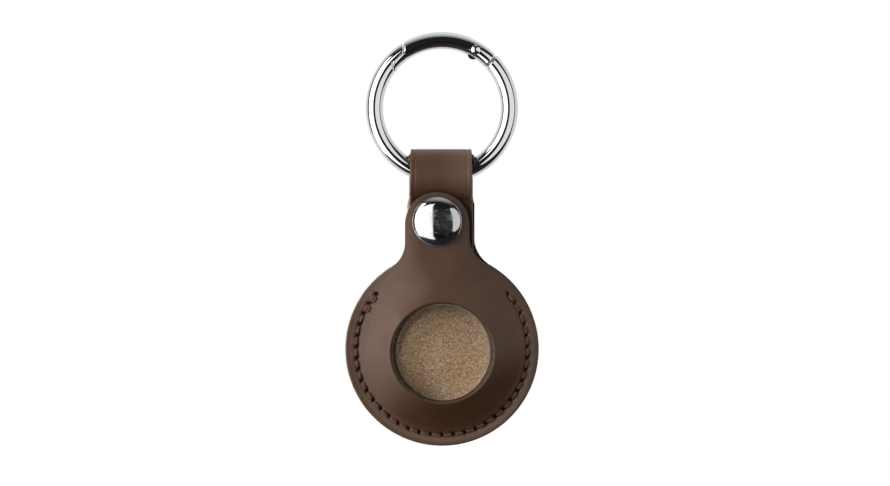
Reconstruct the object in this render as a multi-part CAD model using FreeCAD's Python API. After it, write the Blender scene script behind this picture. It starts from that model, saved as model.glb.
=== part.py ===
import FreeCAD, Part
import math
import os

# Tracker tag holder: a sewn leather pocket with a snap flap, hung by its strap on a gate ring.
# Frame: origin at the ring's centre, +X right, +Y away from the viewer, +Z up, millimetres.

# Ring with its gate
ring_bore = 29.5
ring_wire = 4.25
pin_angle = math.radians(60)
latch_angle = math.radians(150)
gate_tail_radius = 4.8
gate_reach = 17.9
latch_reach = 20.9
gate_gap = 0.2

# Gate hinge: the ring's tongue, its heel, the slot in the gate, the pin and the spring
tongue_thickness = 1.3
tongue_width = 3.0
tongue_root = 2.0
heel_radius = 1.3
heel_reach = 2.72
slot_side_gap = 0.15
slot_end_gap = 0.35
pin_radius = 0.7
pin_clearance = 0.05
pin_head_radius = 1.15
pin_head_seat = 0.3
pin_head_proud = 0.2
spring_diameter = 1.25
spring_wire = 0.3
spring_turns = 6
spring_length = 6.6
spring_clearance = 0.1

# Leather panels and their suede linings
leather = 1.4
lining = 0.4
layer_gap = 0.2
body_drop = 60.25
body_radius = 24.2
front_inset = 0.2
neck_fillet = 7.5
tab_shift = -1.2
tab_width = 16.0
tab_centre_drop = 29.1
foot_inset = 5.2
pocket_crest = 12.1
front_rise = 5.2
back_rise = 3.2
crest_round = 0.8
neck_crest = 16.4
pad_fillet = 6.0
window_radius = 12.65
window_drop = 0.9
window_lean = math.radians(31)
fold_height = 15.0
fold_gap = 0.2

# Strap loop over the ring
strap_width = 16.4
strap_fold_width = 15.2
strap_end_width = 16.2
strap_shoulder_drop = 1.1
strap_tail = 7.6
loop_radius = 4.8
throat_radius = 1.6
neck_join = 5.2

# Seam
seam_inset = 2.8
seam_start = math.radians(40)
stitch_pitch = 2.86
thread = 0.4
stitch_proud = 0.3
stitch_shoulder = 0.16
leg_gap = 0.12
needle_clearance = 0.1

# Snap fastener
snap_drop = 28.4
rivet_radius = 1.5
rivet_clearance = 0.05
rivet_roll_radius = 1.8
rivet_roll = 0.25
post_radius = 4.0
post_flat_share = 0.5
post_rim = 0.3
post_crown = 0.35
stud_plate_radius = 4.0
stud_plate = 0.5
stud_neck_radius = 2.15
stud_ball_radius = 2.5
stud_neck = 0.95
stud_ball_height = 1.15
stud_height = 1.85
stud_wall = 0.25
socket_radius = 5.0
socket_plate = 0.4
socket_bore_gap = 0.4
socket_edge = 0.5
socket_lip = 0.25
snap_float = 0.1
groove_clearance = 0.05
clip_width = 1.0
clip_thickness = 0.5
clip_opening = math.radians(50)
cap_radius = 6.1
cap_rim = 0.45
cap_crown = 1.6

overrun = 1.0

# Sizes that follow from the ones above
mean_radius = (ring_bore + ring_wire) / 2
wire_radius = ring_wire / 2
pin_x = mean_radius * math.cos(pin_angle)
pin_z = mean_radius * math.sin(pin_angle)
slot_half = tongue_thickness / 2 + slot_side_gap
slot_radius = heel_reach + slot_end_gap
pin_seat = wire_radius - pin_head_seat
pin_crown = wire_radius + pin_head_proud
panel = leather + lining
seam_y = layer_gap / 2
body_z = -body_drop
window_z = body_z - window_drop
pocket_foot = body_radius - foot_inset
pocket_draft = math.atan2(front_rise, pocket_foot - pocket_crest)
seam_radius = body_radius - seam_inset
fold_z = body_z + fold_height
tab_left = tab_shift - tab_width / 2
tab_right = tab_shift + tab_width / 2
neck_foot = neck_crest / 2 + front_rise / math.tan(pocket_draft)
front_face = seam_y - front_rise - panel
loop_z = -mean_radius
throat_arc = throat_radius + panel
throat_z = loop_z - math.sqrt((loop_radius + throat_arc) ** 2 - (seam_y + throat_arc) ** 2)
join_z = body_z + body_radius + neck_join
snap_z = -snap_drop
strap_end_z = snap_z - strap_tail
strap_face = -seam_y - panel
flap_back = seam_y - front_rise
stud_face = strap_face - stud_plate
depth_reach = front_rise + back_rise + 2 * panel
width_reach = body_radius + overrun
seam_sweep = math.pi + 2 * seam_start
stitch_count = round(seam_radius * seam_sweep / stitch_pitch)
stitch_angle = seam_sweep / stitch_count


# Plain shapes on the ring's and panels' XZ plane

def vec(x, y, z):
    return FreeCAD.Vector(x, y, z)


def disc(x, z, radius, half_depth):
    """Round bar along Y, centred on the ring's plane."""
    return Part.makeCylinder(radius, 2 * half_depth, vec(x, -half_depth, z), vec(0, 1, 0))


def block(low, high):
    size = high - low
    return Part.makeBox(size.x, size.y, size.z, low)


def prism(wire, depth):
    return Part.Face(wire).extrude(vec(0, depth, 0))


def wedge(start, end, reach, half_depth):
    """Slice of the ring's plane between two angles about the ring's centre."""
    corners = [vec(0, -half_depth, 0)]
    for angle in (start, (start + end) / 2, end):
        corners.append(vec(reach * math.cos(angle), -half_depth, reach * math.sin(angle)))
    return prism(Part.makePolygon(corners + corners[:1]), 2 * half_depth)


def arc(x, z, radius, start, end, y):
    """Arc about a point, in the plane at the given depth."""
    spots = []
    for angle in (start, (start + end) / 2, end):
        spots.append(vec(x + radius * math.cos(angle), y, z + radius * math.sin(angle)))
    return Part.Arc(*spots).toShape()


def keyhole(y, centre_z, radius, left, right, fillet, top_z, round_top):
    """Outline of a disc that runs up through two fillets into a neck."""
    right_rise = math.sqrt((radius + fillet) ** 2 - (right + fillet) ** 2)
    left_rise = math.sqrt((radius + fillet) ** 2 - (left - fillet) ** 2)
    right_turn = math.atan2(right_rise, right + fillet)
    left_turn = math.atan2(left_rise, left - fillet)
    right_z = centre_z + right_rise
    left_z = centre_z + left_rise
    bottom = -math.pi / 2
    edges = [
        arc(0, centre_z, radius, right_turn, bottom, y),
        arc(0, centre_z, radius, bottom, left_turn - 2 * math.pi, y),
        arc(left - fillet, left_z, fillet, left_turn - math.pi, 0, y),
        Part.makeLine(vec(left, y, left_z), vec(left, y, top_z)),
    ]
    if round_top:
        middle = (left + right) / 2
        half = (right - left) / 2
        edges.append(arc(middle, top_z, half, math.pi, math.pi / 2, y))
        edges.append(arc(middle, top_z, half, math.pi / 2, 0, y))
    else:
        edges.append(Part.makeLine(vec(left, y, top_z), vec(right, y, top_z)))
    edges.append(Part.makeLine(vec(right, y, top_z), vec(right, y, right_z)))
    edges.append(arc(right + fillet, right_z, fillet, math.pi, right_turn + math.pi, y))
    return Part.Wire(edges)


def turned(outline):
    """Piece of the snap, turned about the snap's axis from points of radius and depth."""
    corners = [vec(tab_shift + radius, y, snap_z) for radius, y in outline]
    face = Part.Face(Part.makePolygon(corners + corners[:1]))
    return face.revolve(vec(tab_shift, 0, snap_z), vec(0, 1, 0), 360)


# Ring and gate

def gate_zone(widen):
    """Part of the ring that the gate fills, widened for the hole that it fills in the ring."""
    outer = disc(pin_x, pin_z, gate_reach + widen, ring_wire)
    inner = disc(pin_x, pin_z, latch_reach + widen, ring_wire)
    step = disc(0, 0, mean_radius - gate_gap / 2 + widen, ring_wire)
    reach = wedge(pin_angle, latch_angle, 2 * ring_bore, ring_wire)
    zone = reach.common(outer.fuse(inner.common(step)))
    return zone.fuse(disc(pin_x, pin_z, gate_tail_radius + widen, ring_wire))


def ring_bar():
    return Part.makeTorus(mean_radius, wire_radius, vec(0, 0, 0), vec(0, 1, 0))


def from_pin(along, inward):
    """Point on the ring's plane, along the gate from the pin and inward from it."""
    x = pin_x - along * math.sin(pin_angle) - inward * math.cos(pin_angle)
    z = pin_z + along * math.cos(pin_angle) - inward * math.sin(pin_angle)
    return vec(x, 0, z)


def make_ring_body():
    half = tongue_thickness / 2
    root_angle = pin_angle - (gate_tail_radius + tongue_root) / mean_radius
    band = disc(0, 0, mean_radius + tongue_width / 2, half)
    band = band.cut(disc(0, 0, mean_radius - tongue_width / 2, half))
    tongue = band.common(wedge(root_angle, pin_angle, 2 * ring_bore, half))
    heel = from_pin(0, heel_reach - heel_radius)
    tongue = tongue.fuse(disc(pin_x, pin_z, tongue_width / 2, half))
    tongue = tongue.fuse(disc(heel.x, heel.z, heel_radius, half))
    body = ring_bar().cut(gate_zone(gate_gap)).fuse(tongue)
    return body.cut(disc(pin_x, pin_z, pin_radius, ring_wire)).removeSplitter()


def spring_axis():
    """Start of the spring at the heel, and its direction into the gate."""
    start = from_pin(heel_radius, heel_reach - heel_radius)
    return start, (from_pin(heel_radius + spring_length, heel_reach - heel_radius) - start).normalize()


def make_ring_gate():
    gate = ring_bar().common(gate_zone(0))
    slot = disc(pin_x, pin_z, slot_radius, slot_half)
    tail = wedge(pin_angle - math.pi / 2, pin_angle, 2 * ring_bore, slot_half)
    gate = gate.cut(slot).cut(tail)
    start, along = spring_axis()
    pocket_half = spring_diameter / 2 + spring_clearance
    pocket = Part.makeBox(spring_length, 2 * slot_half, 2 * pocket_half, vec(0, -slot_half, -pocket_half))
    pocket.Placement = FreeCAD.Placement(start, FreeCAD.Rotation(vec(1, 0, 0), along))
    gate = gate.cut(pocket)
    gate = gate.cut(disc(pin_x, pin_z, pin_radius + pin_clearance, ring_wire))
    head_hole = pin_head_radius + pin_clearance
    seats = disc(pin_x, pin_z, head_hole, ring_wire).cut(disc(pin_x, pin_z, head_hole, pin_seat))
    return gate.cut(seats)


def make_gate_pin():
    """Pin with a low domed head on each cheek of the gate."""
    shank = disc(pin_x, pin_z, pin_radius, pin_seat)
    for side in (1, -1):
        head = Part.makeCone(pin_head_radius, pin_radius, pin_crown - pin_seat,
                             vec(pin_x, side * pin_seat, pin_z), vec(0, side, 0))
        shank = shank.fuse(head)
    return shank


def biarc(start, start_way, end, end_way):
    """Two tangent arcs from one point and direction to another."""
    span = end - start
    both = start_way + end_way
    square = 2 * (1 - start_way.dot(end_way))
    reach = (-span.dot(both) + math.sqrt(span.dot(both) ** 2 + square * span.dot(span))) / square
    first = start + start_way * reach
    second = end - end_way * reach
    middle = (first + second) * (1 / 2)
    return [bend(start, start_way, middle), bend(middle, (second - first).normalize(), end)]


def bend(start, way, end):
    """Arc from a point and its direction to a second point."""
    span = end - start
    side = (span - way * span.dot(way)).normalize()
    radius = span.dot(span) / (2 * span.dot(side))
    half_turn = math.atan2(span.dot(side), span.dot(way))
    centre = start + side * radius
    crest = centre - side * (radius * math.cos(half_turn)) + way * (radius * math.sin(half_turn))
    return Part.Arc(start, crest, end).toShape()


def make_gate_spring():
    """Compression spring of square wire between the heel and the end of the gate's pocket."""
    start, along = spring_axis()
    across = vec(0, 1, 0)
    beside = along.cross(across)
    coil = (spring_diameter - spring_wire) / 2
    room = spring_length - spring_wire - 2 * spring_clearance
    lead = room / (spring_turns * 2 * math.pi)
    steps = spring_turns * 4
    spots = []
    ways = []
    for step in range(steps + 1):
        turn = step * math.pi / 2
        base = start + along * (spring_clearance + spring_wire / 2 + lead * turn)
        spots.append(base + across * (coil * math.cos(turn)) + beside * (coil * math.sin(turn)))
        way = along * lead - across * (coil * math.sin(turn)) + beside * (coil * math.cos(turn))
        ways.append(way.normalize())
    edges = []
    for step in range(steps):
        edges += biarc(spots[step], ways[step], spots[step + 1], ways[step + 1])
    print("gate spring, gap between turns:", round(room / spring_turns - spring_wire, 2), "mm")
    half = spring_wire / 2
    beam = ways[0].cross(across)
    corners = []
    for out, up in ((half, half), (-half, half), (-half, -half), (half, -half)):
        corners.append(spots[0] + across * out + beam * up)
    section = Part.makePolygon(corners + corners[:1])
    return Part.Wire(edges).makePipeShell([section], True, False)


# Leather panels

def front_form(depth):
    """Solid from the seam to a skin at the given depth outside the pocket's inner face."""
    spread = depth * math.tan(pocket_draft / 2)
    wires = []
    for rise in (0, front_rise):
        inset = rise / math.tan(pocket_draft) - spread
        half = neck_foot - inset
        wires.append(keyhole(seam_y - rise - depth, window_z, pocket_foot - inset, -half, half,
                             pad_fillet + inset, loop_z, False))
    low = vec(-width_reach, seam_y - depth, body_z - width_reach)
    form = Part.makeLoft(wires, True, True).fuse(block(low, vec(width_reach, seam_y + overrun, loop_z)))
    return crest_rounded(form, seam_y - front_rise - depth, crest_round + depth)


def crest_rounded(form, y, radius):
    """Form with the bend round the top of its pocket rounded."""
    bends = []
    for edge in form.Edges:
        box = edge.BoundBox
        level = abs(box.YMin - y) + abs(box.YMax - y) < crest_round
        if level and box.ZMin < fold_z:
            bends.append(edge)
    return form.makeFillet(radius, bends)


def front_layer(inner, outer):
    """Layer of the front panel, cut to its outline, with the window."""
    outline = keyhole(seam_y - depth_reach, body_z, body_radius - front_inset, tab_left, tab_right,
                      neck_fillet, -tab_centre_drop, True)
    layer = front_form(outer).cut(front_form(inner)).common(prism(outline, depth_reach))
    narrow = window_radius - (panel + overrun) * math.tan(window_lean)
    wide = window_radius + overrun * math.tan(window_lean)
    window = Part.makeCone(narrow, wide, panel + 2 * overrun,
                           vec(0, front_face + panel + overrun, window_z), vec(0, -1, 0))
    return layer.cut(window).cut(snap_hole())


def below_fold(layer):
    low = vec(-width_reach, -depth_reach, body_z - width_reach)
    return layer.common(block(low, vec(width_reach, depth_reach, fold_z - fold_gap / 2)))


def above_fold(layer):
    low = vec(-width_reach, -depth_reach, fold_z + fold_gap / 2)
    return layer.common(block(low, vec(width_reach, depth_reach, 0)))


def back_form(depth):
    """Solid from the seam to a skin at the given depth outside the back's inner face."""
    foot = pocket_foot + depth * math.tan(pocket_draft / 2)
    crest = foot - back_rise / math.tan(pocket_draft)
    form = Part.makeCone(foot, crest, back_rise, vec(0, seam_y + depth, window_z), vec(0, 1, 0))
    low = vec(-width_reach, seam_y - overrun, body_z - width_reach)
    form = form.fuse(block(low, vec(width_reach, seam_y + depth, join_z)))
    return crest_rounded(form, seam_y + back_rise + depth, crest_round + depth)


def strap_path(offset):
    """Side view of the strap, from its neck over the ring to its free end, as edges."""
    flat = seam_y + offset
    tip = math.atan2(throat_z - loop_z, seam_y + throat_arc)
    turn = throat_arc - offset
    side = seam_y + throat_arc
    edges = [Part.makeLine(vec(0, flat, join_z), vec(0, flat, throat_z))]
    edges.append(side_arc(side, throat_z, turn, math.pi, tip + math.pi))
    edges.append(side_arc(0, loop_z, loop_radius + offset, tip, math.pi - tip))
    edges.append(side_arc(-side, throat_z, turn, -tip, 0))
    edges.append(Part.makeLine(vec(0, -flat, throat_z), vec(0, -flat, strap_end_z)))
    return edges


def side_arc(y, z, radius, start, end):
    spots = []
    for angle in (start, (start + end) / 2, end):
        spots.append(vec(0, y + radius * math.cos(angle), z + radius * math.sin(angle)))
    return Part.Arc(*spots).toShape()


def strap_mask():
    """Width of the strap: wide behind the ring, narrower where it folds to the front."""
    half = strap_width / 2
    fold = strap_fold_width / 2
    end = strap_end_width / 2
    top_z = loop_z + loop_radius + panel
    shoulder_z = top_z - strap_shoulder_drop
    notch_z = shoulder_z + half - fold
    back = [vec(-half, 0, join_z), vec(half, 0, join_z), vec(half, 0, shoulder_z), vec(fold, 0, notch_z),
            vec(fold, 0, 0), vec(-fold, 0, 0), vec(-fold, 0, notch_z), vec(-half, 0, shoulder_z)]
    front = [vec(-end, 0, strap_end_z), vec(end, 0, strap_end_z), vec(fold, 0, top_z), vec(fold, 0, 0),
             vec(-fold, 0, 0), vec(-fold, 0, top_z)]
    mask = prism(Part.makePolygon(back + back[:1]), depth_reach)
    return mask.fuse(prism(Part.makePolygon(front + front[:1]), -depth_reach))


def strap_layer(inner, outer):
    ends = []
    for flat, z in ((1, join_z), (-1, strap_end_z)):
        ends.append(Part.makeLine(vec(0, flat * (seam_y + inner), z), vec(0, flat * (seam_y + outer), z)))
    edges = strap_path(outer) + strap_path(inner) + ends
    band = Part.Face(Part.Wire(Part.__sortEdges__(edges))).extrude(vec(strap_width, 0, 0))
    band.translate(vec(-strap_width / 2, 0, 0))
    return band.common(strap_mask())


def back_layer(inner, outer):
    """Layer of the back panel with the strap that grows out of its neck."""
    outline = keyhole(seam_y, body_z, body_radius, -strap_width / 2, strap_width / 2, neck_fillet,
                      join_z, False)
    layer = back_form(outer).cut(back_form(inner)).common(prism(outline, depth_reach))
    return layer.fuse(strap_layer(inner, outer)).removeSplitter().cut(snap_hole())


def snap_hole():
    return disc(tab_shift, snap_z, rivet_radius + rivet_clearance, 2 * depth_reach)


# Seam

def seam_spots(shape, count, start):
    """Copies of a shape that is drawn at the seam's lowest point, set along the seam."""
    copies = []
    for step in range(count):
        copy = shape.copy()
        turn = math.degrees(start + step * stitch_angle)
        copy.rotate(vec(0, 0, body_z), vec(0, 1, 0), turn)
        copies.append(copy)
    return Part.makeCompound(copies)


def needle_holes():
    """Needle slits through the leather, one at each end of every stitch."""
    half_length = leg_gap / 2 + thread + needle_clearance
    half_width = thread / 2 + needle_clearance
    low = vec(-half_length, -depth_reach, body_z - seam_radius - half_width)
    slit = block(low, vec(half_length, depth_reach, body_z - seam_radius + half_width))
    return seam_spots(slit, stitch_count + 1, -seam_sweep / 2)


def make_seam(side):
    """Stitches along one face: each is a bar on the leather with a leg into the slit at each end."""
    half_chord = seam_radius * math.sin(stitch_angle / 2)
    chord_z = body_z - seam_radius * math.cos(stitch_angle / 2)
    outside = half_chord - leg_gap / 2
    inside = outside - thread
    face = seam_y + side * panel
    top = face + side * stitch_proud
    foot = seam_y + side * lining
    spots = [(outside, foot), (outside, top - side * stitch_shoulder), (outside - stitch_shoulder, top),
             (stitch_shoulder - outside, top), (-outside, top - side * stitch_shoulder), (-outside, foot),
             (-inside, foot), (-inside, face), (inside, face), (inside, foot)]
    corners = [vec(x, y, chord_z - thread / 2) for x, y in spots]
    stitch = Part.Face(Part.makePolygon(corners + corners[:1])).extrude(vec(0, 0, thread))
    return seam_spots(stitch, stitch_count, (stitch_angle - seam_sweep) / 2)


# Snap fastener

def make_snap_post():
    """Low domed rivet on the back of the strap, rolled over inside the stud."""
    back = seam_y + panel
    crown = back + post_rim + post_crown
    roll = stud_face - rivet_roll
    return turned([(0, crown), (post_flat_share * post_radius, crown), (post_radius, back + post_rim),
                   (post_radius, back), (rivet_radius, back), (rivet_radius, stud_face),
                   (rivet_roll_radius, stud_face), (rivet_roll_radius, roll), (0, roll)])


def make_snap_stud():
    """Hollow stud with a neck under its ball."""
    hole = rivet_radius + rivet_clearance
    ball = stud_face - stud_ball_height
    crown = stud_face - stud_height
    bore = stud_neck_radius - stud_wall
    return turned([(hole, strap_face), (stud_plate_radius, strap_face), (stud_plate_radius, stud_face),
                   (stud_neck_radius, stud_face), (stud_neck_radius, stud_face - stud_neck),
                   (stud_ball_radius, ball), (stud_ball_radius - stud_wall, crown), (0, crown),
                   (0, crown + stud_wall), (bore, crown + stud_wall), (bore, stud_face), (hole, stud_face)])


def make_snap_socket():
    """Socket behind the tab, with a groove that holds the clip round the stud's neck."""
    hole = rivet_radius + rivet_clearance
    bore = stud_ball_radius + socket_bore_gap
    mouth = stud_face - snap_float
    roof = flap_back + socket_plate
    groove = stud_neck_radius + clip_width + 2 * groove_clearance
    low = mouth - socket_lip
    high = low - clip_thickness - 2 * groove_clearance
    return turned([(hole, flap_back), (socket_radius, flap_back), (socket_radius, mouth - socket_edge),
                   (socket_radius - socket_edge, mouth), (bore, mouth), (bore, low), (groove, low),
                   (groove, high), (bore, high), (bore, roof), (hole, roof)])


def make_socket_clip():
    """Split spring clip that grips the stud's neck."""
    inside = stud_neck_radius + groove_clearance
    low = stud_face - snap_float - socket_lip - groove_clearance
    clip = turned([(inside, low), (inside + clip_width, low), (inside + clip_width, low - clip_thickness),
                   (inside, low - clip_thickness)])
    half = socket_radius * math.tan(clip_opening / 2)
    slit = [vec(tab_shift, flap_back, snap_z), vec(tab_shift - half, flap_back, snap_z - socket_radius),
            vec(tab_shift + half, flap_back, snap_z - socket_radius)]
    return clip.cut(prism(Part.makePolygon(slit + slit[:1]), stud_face - flap_back))


def make_snap_cap():
    """Domed cap with a rolled rim, and a rivet through the tab that holds the socket."""
    rim_x = tab_shift + cap_radius - cap_rim
    rim_y = front_face - cap_rim
    crest_y = rim_y - cap_rim
    apex_y = crest_y - cap_crown
    roof = flap_back + socket_plate
    dome_radius = ((cap_radius - cap_rim) ** 2 + cap_crown ** 2) / (2 * cap_crown)
    half_angle = math.asin((cap_radius - cap_rim) / dome_radius) / 2
    dome_x = tab_shift + dome_radius * math.sin(half_angle)
    dome_y = apex_y + dome_radius * (1 - math.cos(half_angle))
    apex = vec(tab_shift, apex_y, snap_z)
    crest = vec(rim_x, crest_y, snap_z)
    foot = vec(rim_x, front_face, snap_z)
    corners = [foot]
    for radius, y in ((rivet_radius, front_face), (rivet_radius, roof), (rivet_roll_radius, roof),
                      (rivet_roll_radius, roof + rivet_roll), (0, roof + rivet_roll)):
        corners.append(vec(tab_shift + radius, y, snap_z))
    corners.append(apex)
    edges = [Part.makeLine(corners[step], corners[step + 1]) for step in range(len(corners) - 1)]
    edges.append(Part.Arc(apex, vec(dome_x, dome_y, snap_z), crest).toShape())
    edges.append(Part.Arc(crest, vec(rim_x + cap_rim, rim_y, snap_z), foot).toShape())
    face = Part.Face(Part.Wire(edges))
    return face.revolve(vec(tab_shift, 0, snap_z), vec(0, 1, 0), 360)


def main():
    slits = needle_holes()
    front_leather = front_layer(lining, panel)
    front_suede = front_layer(0, lining)
    nodes = {
        "ring_body": make_ring_body(),
        "ring_gate": make_ring_gate(),
        "gate_pin": make_gate_pin(),
        "gate_spring": make_gate_spring(),
        "back_panel": back_layer(lining, panel).cut(slits),
        "back_lining": back_layer(0, lining),
        "front_panel": below_fold(front_leather).cut(slits),
        "front_lining": below_fold(front_suede),
        "front_flap": above_fold(front_leather),
        "flap_lining": above_fold(front_suede),
        "front_stitches": make_seam(-1),
        "back_stitches": make_seam(1),
        "snap_post": make_snap_post(),
        "snap_stud": make_snap_stud(),
        "snap_socket": make_snap_socket(),
        "socket_clip": make_socket_clip(),
        "snap_cap": make_snap_cap(),
    }
    os.makedirs("parts", exist_ok=True)
    for name, shape in nodes.items():
        shape.exportStep("parts/" + name + ".step")


main()
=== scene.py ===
# %% [markdown]
# Tracker tag holder: a sewn leather pocket that hangs by its strap on a chrome ring.
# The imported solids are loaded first, as a fixed frame. They say where every piece is and which body
# it moves with. The lesson then dresses them: leather, suede, thread and chrome, each made as the
# real thing is made. Lengths are in millimetres, and MM turns them into Blender's metres. Only the
# finishes and the studio, which are Blender's own, are laid out in metres.

# %% Load the frame
import math

import bmesh
import bpy
import numpy as np
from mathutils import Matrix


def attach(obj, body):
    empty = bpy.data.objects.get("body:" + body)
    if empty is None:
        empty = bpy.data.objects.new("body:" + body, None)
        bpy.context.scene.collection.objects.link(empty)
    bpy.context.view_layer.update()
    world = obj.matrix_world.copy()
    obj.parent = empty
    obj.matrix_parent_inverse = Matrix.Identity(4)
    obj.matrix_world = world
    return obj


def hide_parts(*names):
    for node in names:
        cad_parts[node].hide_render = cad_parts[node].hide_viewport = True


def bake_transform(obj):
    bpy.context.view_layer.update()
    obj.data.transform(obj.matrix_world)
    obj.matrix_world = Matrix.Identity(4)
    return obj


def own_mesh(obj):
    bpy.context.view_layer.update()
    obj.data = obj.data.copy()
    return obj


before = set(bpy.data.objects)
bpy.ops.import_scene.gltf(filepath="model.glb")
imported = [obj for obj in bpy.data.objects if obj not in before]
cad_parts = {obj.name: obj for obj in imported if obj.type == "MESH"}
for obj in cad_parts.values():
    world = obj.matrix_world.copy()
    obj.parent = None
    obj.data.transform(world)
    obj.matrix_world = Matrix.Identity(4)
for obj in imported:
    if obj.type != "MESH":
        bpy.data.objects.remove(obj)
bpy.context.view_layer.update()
scene = bpy.context.scene
MM = 0.001

# %% [markdown]
# The sizes that the dressed pieces share with the solids, so that a change here is also one in the part.
# The ring's centre is the origin, X runs to the right, Y away from the viewer and Z up.

# %% Shared sizes
LEATHER = 1.4
SUEDE = 0.4
PANEL = LEATHER + SUEDE
SEAM_Y = 0.1
BODY_Z = -60.25
BODY_RADIUS = 24.2
FRONT_RADIUS = 24.0
NECK_FILLET = 7.5
TAB_LEFT, TAB_RIGHT, TAB_Z = -9.2, 6.8, -29.1
TAB_SHIFT = (TAB_LEFT + TAB_RIGHT) / 2
WINDOW_X, WINDOW_Z = 0.1, -61.15
FOLD_Z = -45.25
FRONT_FACE = -6.9
POCKET_FOOT = 19.0
NECK_FOOT = 15.1
DRAFT = math.radians(37)
FRONT_RISE, BACK_RISE = 5.2, 3.2
SEAM_RADIUS = 21.4
RIM_CURL = 0.9
SEAM_SWEEP = math.radians(260)
STITCHES = 34
STITCH_ANGLE = SEAM_SWEEP / STITCHES
print("stitch pitch:", round(SEAM_RADIUS * STITCH_ANGLE, 2), "mm")

# %% [markdown]
# Small helpers. A leather panel is easiest to think of as a closed strip of points, a profile, that is
# repeated along the panel: over the face, round the cut edge, back along the lining side, round the
# other edge. Repeating it as a grid gives a watertight skin of quads with no booleans to go wrong.
# The alternative, a solidified plane, gives square edges that look like card.

# %% Mesh helpers
def tube_faces(rows, columns, ends):
    """Faces of a tube of rows, whose point (row, column) has the number row * columns + column. Its ends are
    joined, flat, or drawn together in two poles, which are its last points."""
    faces, last, pole = [], (rows - 1) * columns, rows * columns
    for row in range(rows if ends == "joined" else rows - 1):
        below = ((row + 1) % rows) * columns
        for column in range(columns):
            beside = (column + 1) % columns
            faces.append((row * columns + column, row * columns + beside, below + beside, below + column))
    if ends == "flat":
        faces += [tuple(range(columns)), tuple(range(last, pole))]
    if ends == "poles":
        for column in range(columns):
            beside = (column + 1) % columns
            faces += [(pole, beside, column), (pole + 1, last + column, last + beside)]
    return faces


def join(parts):
    """Points and faces of several meshes as one."""
    points, faces, base = [], [], 0
    for some, polygons in parts:
        points.append(some)
        faces += [tuple(base + corner for corner in polygon) for polygon in polygons]
        base += len(some)
    return np.concatenate(points), faces


def show(name, data):
    """A new object in the scene."""
    shown = bpy.data.objects.new(name, data)
    scene.collection.objects.link(shown)
    return shown


def new_piece(name, points, faces, slots=(), face_slots=None):
    """A smooth mesh object from points in millimetres."""
    mesh = bpy.data.meshes.new(name)
    mesh.from_pydata((np.asarray(points, float) * MM).tolist(), [], faces)
    for material in slots:
        mesh.materials.append(material)
    if face_slots is not None:
        mesh.polygons.foreach_set("material_index", np.asarray(face_slots, np.int32))
    work = bmesh.new()
    work.from_mesh(mesh)
    bmesh.ops.recalc_face_normals(work, faces=work.faces)
    work.to_mesh(mesh)
    work.free()
    mesh.shade_smooth()
    print(name, len(mesh.vertices), "points", len(mesh.polygons), "faces")
    return show(name, mesh)


def point_values(piece, **values):
    """Numbers for each point, by name, for a material to read."""
    for name, numbers in values.items():
        attribute = piece.data.attributes.new(name, "FLOAT", "POINT")
        attribute.data.foreach_set("value", np.asarray(numbers, np.float32).ravel())


# %% Form helpers
def soft_max(a, b, reach):
    """The larger of two heights, with the crease between them rounded over the reach."""
    near = np.clip(reach - np.abs(a - b), 0, None) / reach
    return np.maximum(a, b) + near ** 2 * reach / 4


def soft_min(a, b, reach):
    return -soft_max(-a, -b, reach)


def ease(value, start, end):
    """0 before start, 1 after end, and a smooth step between."""
    share = np.clip((value - start) / (end - start), 0, 1)
    return share * share * (3 - 2 * share)


def arc_points(x, z, radius, start, end, count=160):
    turn = np.linspace(start, end, count)
    return np.stack([x + radius * np.cos(turn), z + radius * np.sin(turn)], 1)


def circle(middle, radius, count=72):
    return arc_points(*middle, radius, 0, 2 * math.pi, count + 1)[:-1]


# %% [markdown]
# Node helpers. A shared effect is a node group: it is built once, its inputs carry the values that
# differ from finish to finish, and each material places it. Groups only hand out colours, masks and
# heights. The shader itself always stays in the material.

# %% Node helpers
WHITE = (1, 1, 1, 1)
MIX_FIRST, MIX_SECOND, MIX_RESULT = 6, 7, 2  # where the Mix node keeps its colours


def grey(level):
    return (level, level, level, 1)


def add_node(tree, kind, **values):
    node = tree.nodes.new("ShaderNode" + kind)
    for name, value in values.items():
        setattr(node, name, value)
    return node


def feed(tree, target, source):
    """Set a socket to a number or colour, or link it to another socket."""
    if isinstance(source, bpy.types.NodeSocket):
        tree.links.new(source, target)
    else:
        target.default_value = source


def fill(tree, node, **values):
    """Feed a node's sockets by name, with an underscore for a space."""
    for label, value in values.items():
        feed(tree, node.inputs[label.replace("_", " ")], value)
    return node


def filled(tree, kind, **values):
    return fill(tree, add_node(tree, kind), **values)


def operate(tree, kind, sources, **values):
    """Add a node and feed its sockets in their order."""
    node = add_node(tree, kind, **values)
    for target, source in zip(node.inputs, sources):
        feed(tree, target, source)
    return node


def maths(tree, operation, *sources, clamp=False):
    return operate(tree, "Math", sources, operation=operation, use_clamp=clamp).outputs[0]


def weigh(tree, first, share, second, other_share, clamp=False):
    """A share of one value plus a share of another."""
    return maths(tree, "ADD", maths(tree, "MULTIPLY", first, share), maths(tree, "MULTIPLY", second, other_share),
                 clamp=clamp)


def vectors(tree, operation, *sources):
    return operate(tree, "VectorMath", sources, operation=operation)


def mix_colour(tree, share, first, second):
    node = fill(tree, add_node(tree, "Mix", data_type="RGBA"), Factor=share)
    feed(tree, node.inputs[MIX_FIRST], first)
    feed(tree, node.inputs[MIX_SECOND], second)
    return node.outputs[MIX_RESULT]


def map_range(tree, value, low, high, to_low=0.0, to_high=1.0):
    return operate(tree, "MapRange", (value, low, high, to_low, to_high)).outputs[0]


def between(tree, share, low, high):
    """Low where the share is 0, high where it is 1."""
    return map_range(tree, share, 0.0, 1.0, low, high)


def noise(tree, place, scale, detail=2.0, roughness=0.5, distortion=0.0):
    return filled(tree, "TexNoise", Vector=place, Scale=scale, Detail=detail, Roughness=roughness,
                  Distortion=distortion).outputs["Fac"]


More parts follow.
